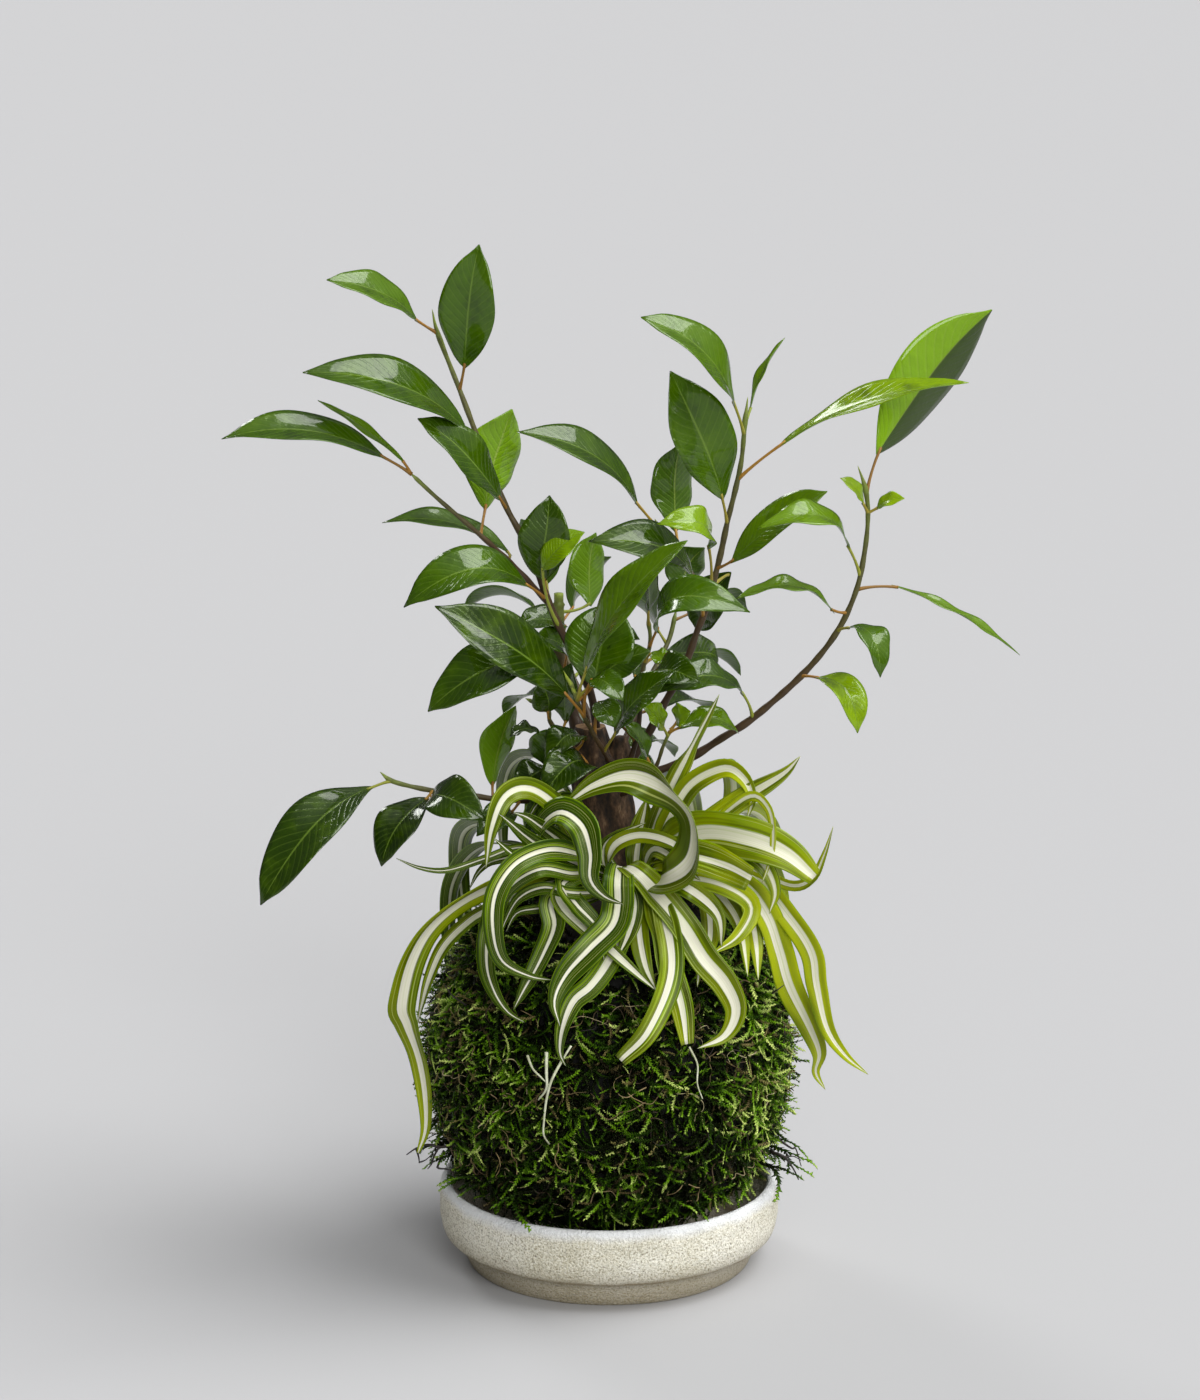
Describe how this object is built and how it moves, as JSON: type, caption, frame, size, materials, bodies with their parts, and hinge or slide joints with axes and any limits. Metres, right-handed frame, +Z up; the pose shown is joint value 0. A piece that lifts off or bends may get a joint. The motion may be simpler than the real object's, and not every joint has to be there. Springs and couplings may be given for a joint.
{
  "type": "kokedama moss ball plant",
  "caption": "Moss-wrapped ball of soil planted with a small ficus stump and a variegated spider plant, standing in a stepped stoneware saucer.",
  "frame": {"origin": "middle of the saucer's flat underside, on the surface the object stands on", "axes": "+Z up; -Y towards the front, the side the picture shows; +X to the right seen from the front"},
  "size_m": [0.293, 0.1793, 0.392],
  "materials": {
    "stoneware": "matte",
    "soil": "matte",
    "moss": "matte",
    "bark": "matte",
    "ficus_leaf": "gloss",
    "variegated_leaf": "satin"
  },
  "bodies": {
    "root": {"saucer": "stoneware", "soil_ball": "soil", "moss_wrap": "moss", "ficus_trunk": "bark", "stem_tall_left": "ficus_leaf", "stem_stub": "ficus_leaf", "stem_front": "ficus_leaf", "stem_low_left": "ficus_leaf", "stem_left": "ficus_leaf", "stem_tall_right": "ficus_leaf", "stem_arch_right": "ficus_leaf", "stem_mid": "ficus_leaf", "stem_low_right": "ficus_leaf", "stem_back_left": "ficus_leaf", "stem_back_right": "ficus_leaf", "stem_back_low": "ficus_leaf", "spider_plant": "variegated_leaf"}
  },
  "joints": []
}
